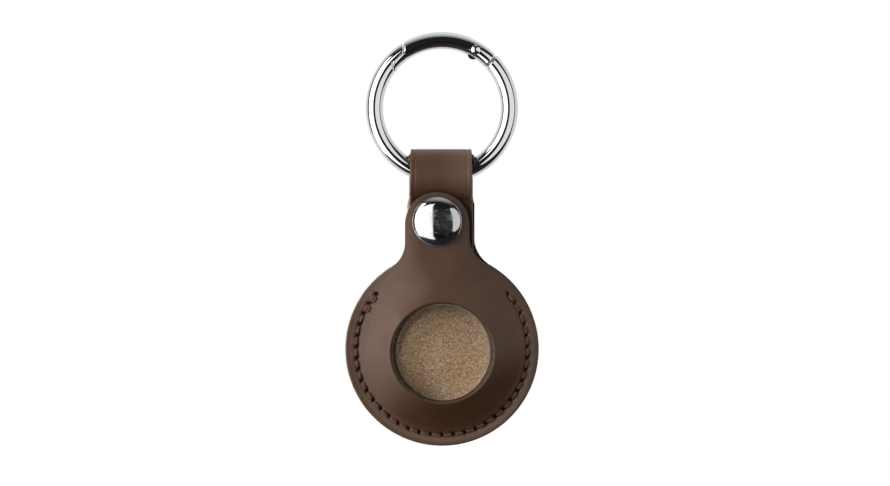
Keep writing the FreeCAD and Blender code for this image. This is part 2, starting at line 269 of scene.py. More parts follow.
def surface_place(tree):
    """Where a point is on the piece, in metres."""
    return add_node(tree, "TexCoord").outputs["Object"]


def read_point(tree, name):
    """One of the numbers that point_values has left."""
    return add_node(tree, "Attribute", attribute_name=name).outputs["Fac"]


def ray_kinds(tree):
    """1 for the camera's own rays, and 1 for rays that a shiny or clear face has sent on."""
    rays = add_node(tree, "LightPath").outputs
    sent_on = maths(tree, "ADD", rays["Is Glossy Ray"], rays["Is Transmission Ray"], clamp=True)
    return rays["Is Camera Ray"], sent_on


print("node helpers ready")

# %% Group and bump helpers
def new_group(name, inputs, outputs):
    tree = bpy.data.node_groups.new(name, "ShaderNodeTree")
    for label, kind, value in inputs:
        socket = tree.interface.new_socket(label, in_out="INPUT", socket_type="NodeSocket" + kind)
        socket.default_value = value
    for label, kind in outputs:
        tree.interface.new_socket(label, in_out="OUTPUT", socket_type="NodeSocket" + kind)
    start = tree.nodes.new("NodeGroupInput").outputs
    end = tree.nodes.new("NodeGroupOutput").inputs
    return tree, start, end


def place_group(tree, group, **values):
    return fill(tree, add_node(tree, "Group", node_tree=group), **values).outputs


def bump(tree, shader, height, strength, depth):
    """Turn a height into the shader's normal; depth is in millimetres."""
    node = filled(tree, "Bump", Strength=strength, Distance=depth * MM, Height=height)
    fill(tree, shader, Normal=node.outputs["Normal"])

# %% [markdown]
# Three shared effects. Mottle is the cloudy change of tone that every dyed skin and thread has. Grain
# is the pattern of fine cells and pores on finished leather, and in a coarser form the fibre on a cut
# edge. Scuff is the haze and hairlines that handling leaves on polished metal.

# %% Shared effect: mottle
mottle, start, end = new_group(
    "mottle", [("Dark", "Color", grey(0)), ("Light", "Color", WHITE), ("Scale", "Float", 100.0),
               ("Contrast", "Float", 1.0)], [("Color", "Color"), ("Mask", "Float")])
spots = noise(mottle, surface_place(mottle), start["Scale"], detail=4.0, roughness=0.6, distortion=0.3)
spread = maths(mottle, "MULTIPLY", maths(mottle, "SUBTRACT", spots, 0.5), start["Contrast"])
tone = maths(mottle, "ADD", spread, 0.5, clamp=True)
feed(mottle, end["Color"], mix_colour(mottle, tone, start["Dark"], start["Light"]))
feed(mottle, end["Mask"], tone)
print("mottle:", len(mottle.nodes), "nodes")


def mottled(name, dark, light, scale, contrast):
    """A new material with its tree and shader, and the outputs of a mottle in it."""
    material = bpy.data.materials.new(name)
    material.use_nodes = True
    tree = material.node_tree
    tones = place_group(tree, mottle, Dark=dark + (1,), Light=light + (1,), Scale=scale, Contrast=contrast)
    return material, tree, tree.nodes["Principled BSDF"], tones


# %% Shared effect: grain
grain, start, end = new_group("grain", [("Cells", "Float", 2000.0), ("Pores", "Float", 0.4)],
                              [("Height", "Float"), ("Pore", "Float")])
place = surface_place(grain)
drift = filled(grain, "TexNoise", Vector=place, Scale=900.0).outputs["Color"]
push = fill(grain, vectors(grain, "SCALE", drift), Scale=0.0004).outputs[0]
cells = fill(grain, add_node(grain, "TexVoronoi", feature="DISTANCE_TO_EDGE"),
             Vector=vectors(grain, "ADD", place, push).outputs[0], Scale=start["Cells"])
crease = map_range(grain, cells.outputs["Distance"], 0.0, 0.22)
pores = map_range(grain, noise(grain, place, scale=5200.0, detail=1.0), 0.66, 0.74)
pore = maths(grain, "MULTIPLY", pores, start["Pores"])
fine = noise(grain, place, scale=7000.0)
feed(grain, end["Height"], maths(grain, "SUBTRACT", weigh(grain, crease, 0.6, fine, 0.3), pore))
feed(grain, end["Pore"], pore)
print("grain:", len(grain.nodes), "nodes")

# %% Shared effect: scuff
scuff, start, end = new_group("scuff", [("Low", "Float", 0.03), ("High", "Float", 0.12)],
                              [("Roughness", "Float"), ("Height", "Float")])
place = surface_place(scuff)
haze = map_range(scuff, noise(scuff, place, scale=160.0, detail=3.0, roughness=0.6), 0.45, 0.75)
stretch = filled(scuff, "Mapping", Vector=place, Rotation=(0.4, 0.7, 0.5), Scale=(0.06, 1.0, 1.0))
hairlines = map_range(scuff, noise(scuff, stretch.outputs["Vector"], scale=6000.0), 0.68, 0.8)
worn = weigh(scuff, haze, 0.6, hairlines, 0.5, clamp=True)
feed(scuff, end["Roughness"], between(scuff, worn, start["Low"], start["High"]))
feed(scuff, end["Height"], maths(scuff, "MULTIPLY", hairlines, -1.0))
print("scuff:", len(scuff.nodes), "nodes")

# %% [markdown]
# The leather is drum dyed and lightly waxed: a deep brown with a soft shine, a grain so fine that it
# shows only as a break in the light, and needle holes with painted near-black shade. Each point of the skin
# can carry four numbers: one for painted shade, in the needle holes, on the window's wall and where the tab
# shades the strap; rim for how close it is to a cut edge; one for painted light, on the lower sewn rim and
# the strap's right side; and dull for how far its wax has worn off. So the finish changes exactly where the shape
# does.

# %% Leather finish
PAINTED_LIGHT_TONE, RIM_TONE = (0.165, 0.098, 0.062, 1), (0.055, 0.03, 0.021, 1)
PORE_TONE, HOLE_SHADE_TONE = (0.03, 0.014, 0.009, 1), (0.022, 0.006, 0.004, 1)
WAX_SHINE = 0.42
leather, tree, shader, tones = mottled("leather_brown", (0.080, 0.036, 0.0185), (0.102, 0.049, 0.0265), 140.0, 1.3)
cells = place_group(tree, grain, Cells=2300.0, Pores=0.5)
colour = tones["Color"]
# Painted light lightens the lower sewn rim and the strap's right side; the rim's dark tone and the pores follow.
for mask, share, tone in ((read_point(tree, "rub"), 0.75, PAINTED_LIGHT_TONE), (read_point(tree, "rim"), 0.5, RIM_TONE),
                          (cells["Pore"], 0.5, PORE_TONE)):
    colour = mix_colour(tree, maths(tree, "MULTIPLY", mask, share), colour, tone)
# Painted shade: near black in the needle holes and wherever else it is marked, and without the wax shine there.
pit = read_point(tree, "pit")
matt = maths(tree, "MAXIMUM", pit, read_point(tree, "dull"))
fill(tree, shader, Base_Color=mix_colour(tree, pit, colour, HOLE_SHADE_TONE),
     Roughness=between(tree, tones["Mask"], 0.5, 0.4), Specular_IOR_Level=between(tree, matt, WAX_SHINE, 0.0))
bump(tree, shader, cells["Height"], strength=0.35, depth=0.06)
print(leather.name, len(tree.nodes), "nodes")

# %% Cut edge finish
cut_edge, tree, shader, tones = mottled("leather_cut_edge", (0.050, 0.034, 0.024), (0.135, 0.100, 0.074), 900.0, 2.0)
fibres = place_group(tree, grain, Cells=4200.0, Pores=0.3)
# Painted shade for the window's wall and for the lining's edge there.
wall_shade_tone = (0.010, 0.006, 0.004, 1)
fill(tree, shader, Base_Color=mix_colour(tree, read_point(tree, "pit"), tones["Color"], wall_shade_tone),
     Roughness=between(tree, tones["Mask"], 0.55, 0.75), Specular_IOR_Level=0.15)
bump(tree, shader, fibres["Height"], strength=0.6, depth=0.06)
print(cut_edge.name, len(tree.nodes), "nodes")

# %% [markdown]
# Suede is leather's flesh side, brushed. Its nap lies in small curled tufts that catch the light on one
# side, so the tone changes every half millimetre. Two fine noises make the tufts and their hairs, and a
# broad one the way a finger has stroked the nap. Towards the window's edge the suede is painted lighter,
# as painted light that lifts the shade which the window's wall casts there.

# %% Suede finish
NAP_SHADOW, NAP_TIP, NAP_SHADE_TONE = (0.26, 0.145, 0.07, 1), (0.92, 0.70, 0.47, 1), (0.022, 0.013, 0.009, 1)
FILL_LIGHT_FROM, FILL_LIGHT_FULL, FILL_LIGHT_GAMMA = 0.007, 0.012, 0.72
suede, tree, shader, stroked = mottled("suede_sand", (0.51, 0.325, 0.178), (0.63, 0.412, 0.235), 90.0, 1.4)
place = surface_place(tree)
tufts = noise(tree, place, scale=2300.0, detail=3.0, roughness=0.65, distortion=1.2)
hairs = noise(tree, place, scale=5600.0, roughness=0.6, distortion=0.8)
nap = weigh(tree, tufts, 0.7, hairs, 0.3)
low = mix_colour(tree, map_range(tree, nap, 0.40, 0.5), NAP_SHADOW, stroked["Color"])
tuft = mix_colour(tree, map_range(tree, nap, 0.5, 0.61), low, NAP_TIP)
from_middle = vectors(tree, "MULTIPLY_ADD", place, (1, 0, 1), (-WINDOW_X * MM, 0, -WINDOW_Z * MM)).outputs[0]
away = vectors(tree, "LENGTH", from_middle).outputs["Value"]
# Painted light: the suede grows lighter towards the window's edge, where the wall's shade falls.
painted_fill_light = filled(tree, "Gamma", Color=tuft,
               Gamma=map_range(tree, away, FILL_LIGHT_FROM, FILL_LIGHT_FULL, 1.0, FILL_LIGHT_GAMMA))
# Painted shade turns the lining dark where it is marked: at the window's edge and on its right side towards the
# neck.
fill(tree, shader, Base_Color=mix_colour(tree, read_point(tree, "pit"), painted_fill_light.outputs["Color"], NAP_SHADE_TONE),
     Roughness=map_range(tree, nap, 0.3, 0.7, 0.98, 0.85), Sheen_Weight=0.25, Sheen_Roughness=0.6,
     Specular_IOR_Level=0.15)
bump(tree, shader, nap, strength=0.9, depth=0.25)
print(suede.name, len(tree.nodes), "nodes")

# %% Thread finish
thread, tree, shader, tones = mottled("thread_russet", (0.085, 0.036, 0.026), (0.19, 0.098, 0.072), 1400.0, 2.2)
fibre = noise(tree, surface_place(tree), scale=9000.0, roughness=0.6, distortion=0.5)
# Painted shade where the thread goes down into its needle hole.
pit = read_point(tree, "pit")
thread_hole_shade = (0.016, 0.004, 0.0025, 1)
fill(tree, shader, Base_Color=mix_colour(tree, pit, tones["Color"], thread_hole_shade),
     Roughness=map_range(tree, fibre, 0.3, 0.7, 0.5, 0.7), Specular_IOR_Level=between(tree, pit, 0.3, 0.0),
     Sheen_Weight=0.1)
bump(tree, shader, fibre, strength=0.5, depth=0.05)
print(thread.name, len(tree.nodes), "nodes")

# %% Metal finishes
def metal(name, colour, low, high, marked, tarnish):
    """A metal with a roughness from low to high, marks of some strength and a darker tone where it is dull."""
    material, tree, shader, shade = mottled(name, tuple(tarnish * part for part in colour), colour, 220.0, 1.5)
    marks = place_group(tree, scuff, Low=low, High=high)
    fill(tree, shader, Metallic=1.0, Base_Color=shade["Color"], Roughness=marks["Roughness"])
    bump(tree, shader, marks["Height"], strength=marked, depth=0.01)
    return material


chrome = metal("chrome_polished", (0.71, 0.715, 0.72), low=0.02, high=0.06, marked=0.012, tarnish=0.96)
chrome_worn = metal("chrome_worn", (0.56, 0.565, 0.57), low=0.07, high=0.45, marked=0.8, tarnish=0.82)
steel = metal("steel_drawn", (0.55, 0.55, 0.56), low=0.22, high=0.4, marked=0.05, tarnish=0.96)
print("finishes:", [material.name for material in bpy.data.materials])

# %% [markdown]
# The front leather is moulded over a block: from the flat sewn rim it rises ever more steeply to the
# edge of the window, like a crater, and towards the neck it levels out into the flap. One height
# formula gives the whole form. The distance to the pad's foot is turned into a slope, and soft minimum
# and maximum round its foot and its crest.

# %% Form of the front and the back
NECK_TAPER, NECK_LOW, NECK_FADE, NECK_JOIN = 2, 4, 9.0, 7.0
LEAN_FROM, CREST_FROM, CREST_TO = FOLD_Z - 4, WINDOW_Z + 6, WINDOW_Z + 18
FOOT_ROUND, WINDOW_CREST, NECK_CREST, TAB_CREST = 3.4, 0.8, 5.7, -3.0
SWELL, SWELL_OVER, SWELL_UNDER = 0.5, WINDOW_Z + 13, WINDOW_Z + 6
CURL_DROP = 18
BACK_FOOT_ROUND, BACK_CREST = 2.6, 1.6


def front_height(x, z, depth):
    """How far the front stands before the seam, for the skin at a depth outside its inner face."""
    dome = POCKET_FOOT - np.hypot(x, z - WINDOW_Z)
    lean = TAB_SHIFT * ease(z, LEAN_FROM, TAB_Z)
    neck = NECK_FOOT - np.abs(x - lean) - NECK_TAPER * soft_max(WINDOW_Z + NECK_LOW - z, 0 * z, NECK_FADE)
    inside = soft_max(dome, neck, NECK_JOIN) + depth * math.tan(DRAFT / 2)
    top = FRONT_RISE + SWELL * ease(-z, -SWELL_OVER, -SWELL_UNDER)
    slope = soft_max(inside * math.tan(DRAFT), 0 * x, FOOT_ROUND)
    crest = WINDOW_CREST + NECK_CREST * ease(z, CREST_FROM, CREST_TO) + TAB_CREST * ease(z, FOLD_Z, TAB_Z - 6)
    curl = RIM_CURL * ease(np.hypot(x, z - BODY_Z), SEAM_RADIUS, FRONT_RADIUS + 1)
    curl = curl * ease(-z, -BODY_Z, -BODY_Z + CURL_DROP)
    return depth + soft_min(slope, top, crest) + curl * depth / PANEL


def back_height(x, z, depth):
    """The same for the back, which is a plain dome."""
    inside = POCKET_FOOT - np.hypot(x, z - WINDOW_Z) + depth * math.tan(DRAFT / 2)
    slope = soft_max(inside * math.tan(DRAFT), 0 * x, BACK_FOOT_ROUND)
    return depth + soft_min(slope, BACK_RISE + 0 * x, BACK_CREST)


print("front stands", round(float(front_height(np.array(0.0), np.array(-40.0), PANEL)), 2), "mm over the seam")

# %% Marks of the seam
HOLE_LONG, HOLE_WIDE, HOLE_COS, HOLE_SIN = 1.3, 0.88, 0.82, 0.57
HOLE_WANDER, WANDER_STEP, HOLE_VARY, VARY_STEP = 0.1, 7.3, 0.16, 12.9
HOLE_DARK, HOLE_END = 0.26, 0.6
DENT_DEPTH, DENT_SIZE, GROOVE_DEPTH, GROOVE_WIDTH = 0.7, 0.45, 0.12, 0.75
GROOVE_OVERRUN, GROOVE_FADE = 0.03, (-0.04, 0.02)


def seam_marks(x, z):
    """Dent of the seam and the mask of painted shade in its needle holes, which are slanted and a little uneven."""
    radius = np.hypot(x, z - BODY_Z)
    angle = np.arctan2(x, BODY_Z - z)
    hole = np.clip(np.round((angle + SEAM_SWEEP / 2) / STITCH_ANGLE), 0, STITCHES)
    along = radius * (angle + SEAM_SWEEP / 2 - hole * STITCH_ANGLE)
    across = radius - SEAM_RADIUS - HOLE_WANDER * np.sin(WANDER_STEP * hole)
    slanted, beside = HOLE_COS * along + HOLE_SIN * across, HOLE_COS * across - HOLE_SIN * along
    far = np.hypot(slanted / HOLE_LONG, beside / HOLE_WIDE) / (1 + HOLE_VARY * np.sin(VARY_STEP * hole))
    on_seam = ease(SEAM_SWEEP / 2 + GROOVE_OVERRUN - np.abs(angle), *GROOVE_FADE)
    groove = GROOVE_DEPTH * np.exp(-(across / GROOVE_WIDTH) ** 2) * on_seam
    return DENT_DEPTH * np.exp(-(far / DENT_SIZE) ** 2) + groove, 1 - ease(far, HOLE_DARK, HOLE_END)


# %% [markdown]
# The outline of the front: a disc that runs through two hollow curves into a neck with a round end.
# It is drawn as arcs and lines, then divided evenly, so that every piece that follows the outline can
# use the same points.

# %% Outline of the front
def front_outline(radius, left, right, top_z, count):
    """Points (x, z) round the front, evenly spaced, from the right shoulder down and round."""
    right_rise = math.sqrt((radius + NECK_FILLET) ** 2 - (right + NECK_FILLET) ** 2)
    left_rise = math.sqrt((radius + NECK_FILLET) ** 2 - (left - NECK_FILLET) ** 2)
    right_turn = math.atan2(right_rise, right + NECK_FILLET)
    left_turn = math.atan2(left_rise, left - NECK_FILLET)
    runs = [
        arc_points(0, BODY_Z, radius, right_turn, left_turn - 2 * math.pi, 900),
        arc_points(left - NECK_FILLET, BODY_Z + left_rise, NECK_FILLET, left_turn - math.pi, 0),
        arc_points((left + right) / 2, top_z, (right - left) / 2, math.pi, 0, 400),
        arc_points(right + NECK_FILLET, BODY_Z + right_rise, NECK_FILLET, math.pi, right_turn + math.pi),
    ]
    line = np.concatenate(runs + [runs[0][:1]])
    steps = np.hypot(*np.diff(line, axis=0).T)
    length = np.concatenate([[0], np.cumsum(steps)])
    where = np.linspace(0, length[-1], count, endpoint=False)
    return np.stack([np.interp(where, length, line[:, 0]), np.interp(where, length, line[:, 1])], 1)


def outward(line):
    """Unit vectors that point out of a closed line that runs clockwise."""
    along = np.roll(line, -1, 0) - np.roll(line, 1, 0)
    along /= np.hypot(*along.T)[:, None]
    return np.stack([-along[:, 1], along[:, 0]], 1)


outline = front_outline(FRONT_RADIUS, TAB_LEFT, TAB_RIGHT, TAB_Z, count=680)
print("outline:", len(outline), "points,", round(float(outline[:, 1].max()), 2), "mm at the top")

# %% [markdown]
# One closed profile runs from the window over the face to the outline, round the edge and back along
# the inside. Repeated at every point of the outline it makes the whole skin. The window's wall leans
# in, as a punched edge does once the leather is stretched over the block, so it shows from the front.

# %% Profile of the front
FACE, EDGE, INSIDE = 0, 1, 2
WINDOW_IN, WINDOW_OUT = (11.75, 11.98), (12.86, 12.46)
LINING_SHIFT = np.array([0.12, 0.2])
WALL_SHARES = np.linspace(0, 1, 9)
EDGE_TURNS = np.radians((25, 50, 75))


def window_edge(turn, half_width, half_height):
    return 1 / np.hypot(np.cos(turn) / half_width, np.sin(turn) / half_height)


def front_shell(line, depth_in, depth_out, face_rows, inside_rows, edge, marked):
    """Profiles of a front layer: points (rows, columns, 3) and the slot of each row of faces."""
    normal = outward(line)
    centre = np.array([WINDOW_X, WINDOW_Z])
    inset = line - normal * edge
    spoke = inset - centre
    turn = np.arctan2(spoke[:, 1], spoke[:, 0])
    ray = np.stack([np.cos(turn), np.sin(turn)], 1)
    lean_in, lean_out = window_edge(turn, *WINDOW_IN), window_edge(turn, *WINDOW_OUT)
    share_in = depth_in / PANEL
    hole_in = lean_in + (lean_out - lean_in) * share_in
    hole_out = lean_in + (lean_out - lean_in) * depth_out / PANEL
    rows, slots = [], []

    def put(flat, y, slot):
        rows.append(np.stack([flat[:, 0], y, flat[:, 1]], 1))
        slots.append(slot)

    def under_y(flat):
        return SEAM_Y - front_height(flat[:, 0], flat[:, 1], depth_in)

    def face_y(flat):
        y = SEAM_Y - front_height(flat[:, 0], flat[:, 1], depth_out)
        return y + seam_marks(flat[:, 0], flat[:, 1])[0] if marked else y

    first = centre + ray * (hole_out + edge)[:, None]
    for share in np.linspace(0, 1, face_rows):
        flat = first + (inset - first) * share
        put(flat, face_y(flat), FACE)
    rim_y = face_y(inset)
    for angle in EDGE_TURNS:
        put(inset + normal * edge * math.sin(angle), rim_y + edge * (1 - math.cos(angle)), EDGE)
    for share in (0.0, 0.5, 1.0):
        put(line, (rim_y + edge) * (1 - share) + under_y(line) * share, EDGE)
    last = centre + ray * hole_in[:, None] + LINING_SHIFT * (1 - share_in)
    for share in np.linspace(0, 1, inside_rows)[1:-1]:
        flat = line + (last - line) * share
        put(flat, under_y(flat), INSIDE)
    low, high = under_y(last), face_y(first) + edge
    top = centre + ray * hole_out[:, None]
    for share in WALL_SHARES:
        put(last + (top - last) * share, low + (high - low) * share, EDGE)
    for angle in EDGE_TURNS[::-1]:
        put(first - ray * edge * math.sin(angle), high - edge * math.cos(angle), FACE)
    return np.array(rows), np.array(slots)


def shell_piece(name, rows, slots, finishes):
    count, columns = rows.shape[:2]
    faces = tube_faces(count, columns, "joined")
    return new_piece(name, rows.reshape(-1, 3), faces, finishes, np.repeat(slots, columns))


# %% Front skin
FACE_ROWS, RIM_BAND, SKIN_EDGE = 84, 6, 0.28
WALL_SHADE, WALL_SHADE_LINE, LINE_SHARE, LINE_WIDTH = 0.1, 0.6, 0.2, 0.16
WALL_FIRST, WALL_LAST = -len(EDGE_TURNS) - len(WALL_SHARES), -len(EDGE_TURNS)
rows, slots = front_shell(outline, SUEDE, PANEL, FACE_ROWS, inside_rows=9, edge=SKIN_EDGE, marked=True)
front_skin = shell_piece("front_skin", rows, slots, (leather, cut_edge, cut_edge))
x, z = rows[:, :, 0], rows[:, :, 2]
# Painted shade in the needle holes of the face.
pits = seam_marks(x, z)[1] * (slots == FACE)[:, None]
# Painted shade on the window's wall, with a darker line of it near the wall's foot.
wall_pits = WALL_SHADE + WALL_SHADE_LINE * np.exp(-((WALL_SHARES - LINE_SHARE) / LINE_WIDTH) ** 2)
pits[WALL_FIRST:WALL_LAST] = wall_pits[:, None]
rims = np.zeros(rows.shape[:2])
rims[FACE_ROWS - RIM_BAND:FACE_ROWS + RIM_BAND] = 1.0
rims[:2] = 0.6
from_body = np.hypot(x, z - BODY_Z)
# Painted light on the sewn rim, growing towards the lower right.
sewn_rim = ease(from_body, SEAM_RADIUS + 0.1, SEAM_RADIUS + 0.9)
sewn_rim = sewn_rim * (1 - ease(from_body, FRONT_RADIUS - 0.6, FRONT_RADIUS))
lower = ease(0.5 * x - z + BODY_Z, -8.0, 8.0)
below_window = 0.9 * ease(0.4 * x + WINDOW_Z - z, 4.0, 14.0)
inside_seam = 1 - ease(from_body, SEAM_RADIUS - 2.0, SEAM_RADIUS - 0.5)
point_values(front_skin, pit=pits, rim=rims, rub=sewn_rim * lower, dull=below_window * inside_seam)

# %% Front lining
LINING_EDGE, LINING_SHADE = 0.08, 0.7
rows, slots = front_shell(outline[::4], 0.0, SUEDE, 16, inside_rows=16, edge=LINING_EDGE, marked=False)
front_suede = shell_piece("front_suede", rows, slots, (suede, cut_edge, suede))
pits = np.zeros(rows.shape[:2])
# Painted shade on the lining's edge in the window.
pits[WALL_FIRST:] = LINING_SHADE
point_values(front_suede, pit=pits)

# %% [markdown]
# The front leather is one piece, but the flap above the fold lifts with the snap while the sewn part
# stays. Here the skin and its lining are each fixed in place as one piece, and the solids they stand in for are
# hidden.

# %% Front skin and lining set in place
for piece, nodes in ((front_skin, ("front_panel", "front_flap")), (front_suede, ("front_lining", "flap_lining"))):
    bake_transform(piece)
    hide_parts(*nodes)

# %% [markdown]
# The back leather and the strap are one long piece: up from the sewn disc, over the ring and down the
# front to the snap. Its rows run across it, from the lowest point of the disc to the strap's free end.
# Over the disc a row follows the dome, and over the ring it follows the bend, so there is no joint.

# %% Path of the strap
LOOP_Z, LOOP_RADIUS = -16.875, 4.8
THROAT_ARC = 1.6 + PANEL
THROAT_SIDE = SEAM_Y + THROAT_ARC
THROAT_Z = LOOP_Z - math.sqrt((LOOP_RADIUS + THROAT_ARC) ** 2 - THROAT_SIDE ** 2)
STRAP_END_Z = -36.0
FRONT_TURNS = math.radians(42), math.radians(64)
THROAT_ROWS, LOOP_ROWS, RUN_ROWS = 14, 52, 22


def strap_path():
    """Points (y, z) of the strap's inner face from the back's throat to its end, with outward directions
    and how far each belongs to the strap's front run, 0 to 1."""
    tip = math.atan2(THROAT_Z - LOOP_Z, THROAT_SIDE)
    over = np.linspace(tip, math.pi - tip, LOOP_ROWS)[1:]
    path, out, front = [], [], []
    for y, z, radius, way, turns, share in (
            (THROAT_SIDE, THROAT_Z, THROAT_ARC, -1, np.linspace(math.pi, tip + math.pi, THROAT_ROWS), 0.0),
            (0, LOOP_Z, LOOP_RADIUS, 1, over, ease(over, *FRONT_TURNS)),
            (-THROAT_SIDE, THROAT_Z, THROAT_ARC, -1, np.linspace(-tip, 0, THROAT_ROWS)[1:], 1.0)):
        rays = np.stack([np.cos(turns), np.sin(turns)], 1)
        path.append(np.array([y, z]) + radius * rays)
        out.append(way * rays)
        front.append(share + 0 * turns)
    heights = np.linspace(THROAT_Z, STRAP_END_Z, RUN_ROWS)[1:]
    path.append(np.stack([0 * heights - SEAM_Y, heights], 1))
    out.append(np.tile([-1.0, 0.0], (len(heights), 1)))
    front.append(np.ones(len(heights)))
    return [np.concatenate(runs) for runs in (path, out, front)]


path, path_out, path_front = strap_path()
print("strap path:", len(path), "rows from", round(path[0][1], 1), "to", round(path[-1][1], 1), "mm")

# %% Width of the back, row by row
NECK_HALF, STRAP_HALF, BACK_SHIFT = 8.4, 8.0, -0.28
FLARE, FLARE_FROM, FLARE_TO, FLARE_SHIFT = 0.65, LOOP_Z + 0.8, LOOP_Z + 3.0, 0.15
FRONT_HALF, FRONT_SPREAD, FRONT_SHIFT = 7.7, 0.4, -0.22
SLIM_REACH, FIRST_TURN = 2, 0.012
neck_rise = math.sqrt((BODY_RADIUS + NECK_FILLET) ** 2 - (NECK_HALF + NECK_FILLET) ** 2)
NECK_Z = BODY_Z + neck_rise
SHOULDER_Z = BODY_Z + neck_rise * BODY_RADIUS / (BODY_RADIUS + NECK_FILLET)


def back_half_width(z):
    if z < SHOULDER_Z:
        return math.sqrt(BODY_RADIUS ** 2 - (z - BODY_Z) ** 2)
    if z < NECK_Z:
        return NECK_HALF + NECK_FILLET - math.sqrt(NECK_FILLET ** 2 - (z - NECK_Z) ** 2)
    return NECK_HALF


def back_rows(body_count, step):
    """For each row: height, half width, middle and share of the front run, and on the strap also its point
    of the path and its outward direction."""
    last = math.acos((BODY_Z - SHOULDER_Z) / BODY_RADIUS)
    heights = list(BODY_Z - BODY_RADIUS * np.cos(np.linspace(FIRST_TURN, last, body_count)))
    heights += list(np.linspace(SHOULDER_Z, NECK_Z, 5 + 20 // step)[1:])
    heights += list(np.linspace(NECK_Z, THROAT_Z, 4 + 16 // step)[1:-1])
    rows = []
    for z in heights:
        rows.append((z, back_half_width(z), BACK_SHIFT * ease(z, SHOULDER_Z, NECK_Z), 0.0, None, None))
    for pick in sorted(set(range(0, len(path), step)) | {len(path) - 1}):
        spot, front = path[pick], path_front[pick]
        z = spot[1]
        drop = ease(-z, -LOOP_Z - LOOP_RADIUS, -STRAP_END_Z)
        flare = FLARE * ease(z, FLARE_FROM, FLARE_TO)
        slim = STRAP_HALF + (NECK_HALF - STRAP_HALF) * ease(-z, -THROAT_Z - SLIM_REACH, -THROAT_Z)
        half = (slim + flare) * (1 - front) + (FRONT_HALF + FRONT_SPREAD * drop) * front
        middle = (BACK_SHIFT + FLARE_SHIFT * flare) * (1 - front) + FRONT_SHIFT * front
        rows.append((z, half, middle, front, spot, path_out[pick]))
    return rows


# %% [markdown]
# The rows become closed profiles, one for the leather and one for its lining. On the disc the leather is
# dented by the seam. On the strap it is creased along both edges, with painted shadow where the tab shades it
# and painted light towards its right. The lining lifts behind the window, because the empty pocket is soft,
# and gets painted shade on its right side towards the neck.

# %% Profile of the back
SKIVE, STRAP_ROUND = 0.12, 0.6
CREASE_IN, CREASE_DEPTH, CREASE_WIDTH = 1.2, 0.07, 0.2
TAB_HALF, TAB_SHADOW, TAB_REACH = (TAB_RIGHT - TAB_LEFT) / 2, 2.4, TAB_Z + 12
LINING_LOFT, LOFT_FLAT, LOFT_END = 2.4, 12.5, 17.5
STRAP_LIGHT, STRAP_LIGHT_LEFT, STRAP_LIGHT_WIDTH = 1.05, -0.5, 7.5


def back_shell(body_count, step, columns, inside_columns, depth_in, depth_out, edge, marked):
    """Profiles across the back, one for each row: the face from left to right, then the inside back again.
    With them the painted shade and the painted light of each point."""
    across = np.sin(np.linspace(-math.pi / 2, math.pi / 2, columns))
    inner = np.sin(np.linspace(math.pi / 2, -math.pi / 2, inside_columns))
    grid, pits, rubs = [], [], []
    for z, half, middle, front, spot, out in back_rows(body_count, step):
        face_half = half - SKIVE * front
        x, x_in = middle + face_half * across, middle + half * inner
        level, level_in = z + 0 * x, z + 0 * x_in
        far = BODY_RADIUS - np.hypot(x, z - BODY_Z) if z < SHOULDER_Z else face_half - np.abs(x - middle)
        round_off = edge * (1 - np.sqrt(1 - np.clip(1 - far / edge, 0, 1) ** 2))
        if spot is None:
            # Painted shade in the needle holes of the disc.
            dent, pit = seam_marks(x, level)
            y = SEAM_Y + back_height(x, level, depth_out) - round_off
            y_in = SEAM_Y + back_height(x_in, level_in, depth_in)
            if marked:
                y = y - dent
            else:
                y_in = y_in - LINING_LOFT * (1 - ease(np.hypot(x_in, z - WINDOW_Z), LOFT_FLAT, LOFT_END))
        else:
            crease = np.exp(-((half - np.abs(x - middle) - CREASE_IN) / CREASE_WIDTH) ** 2)
            lift = depth_out - STRAP_ROUND * round_off - CREASE_DEPTH * front * crease
            # Painted shadow of the tab on the strap, deeper to the tab's right.
            beyond = np.hypot(x - TAB_SHIFT, max(z - TAB_Z, 0.0)) - TAB_HALF
            shadow = 0.45 + 0.4 * ease(x - TAB_SHIFT, 2.0, 7.0)
            pit = front * shadow * (1 - ease(beyond, 0.0, TAB_SHADOW)) * (z < TAB_REACH)
            y, level = spot[0] + out[0] * lift, spot[1] + out[1] * lift
            y_in, level_in = spot[0] + out[0] * depth_in + 0 * x_in, level_in + out[1] * depth_in
        grid.append(np.concatenate([np.stack([x, y, level], 1), np.stack([x_in, y_in, level_in], 1)]))
        # Painted shade on the lining's right side, from below the shoulder up.
        right_edge_shade = 0.95 * ease(x_in, 5.0, 6.2) * ease(z, -52.0, -47.0)
        pits.append(np.concatenate([pit, 0 * right_edge_shade] if marked else [0 * pit, right_edge_shade]))
        # Painted light on the strap's front run, growing to the right.
        rubs.append(np.concatenate([STRAP_LIGHT * front * np.clip((x - STRAP_LIGHT_LEFT) / STRAP_LIGHT_WIDTH, 0, 1), 0 * x_in]))
    return np.array(grid), np.array(pits), np.array(rubs)


def back_piece(name, grid, columns, finishes):
    """Closed skin from the rows, with its first and last row capped."""
    count, ring = grid.shape[:2]
    slots = np.full((count - 1, ring), EDGE)
    slots[:, :columns - 1] = FACE
    faces = tube_faces(count, ring, "flat")
    return new_piece(name, grid.reshape(-1, 3), faces, finishes, list(slots.ravel()) + [EDGE, EDGE])


# %% Back skin
SKIN_COLUMNS, LINING_COLUMNS = 161, 61
grid, pits, rubs = back_shell(170, 1, SKIN_COLUMNS, 25, SUEDE, PANEL, SKIN_EDGE, marked=True)
back_skin = back_piece("back_skin", grid, SKIN_COLUMNS, (leather, cut_edge))
point_values(back_skin, pit=pits, rub=rubs)
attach(back_skin, "holder")
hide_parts("back_panel")

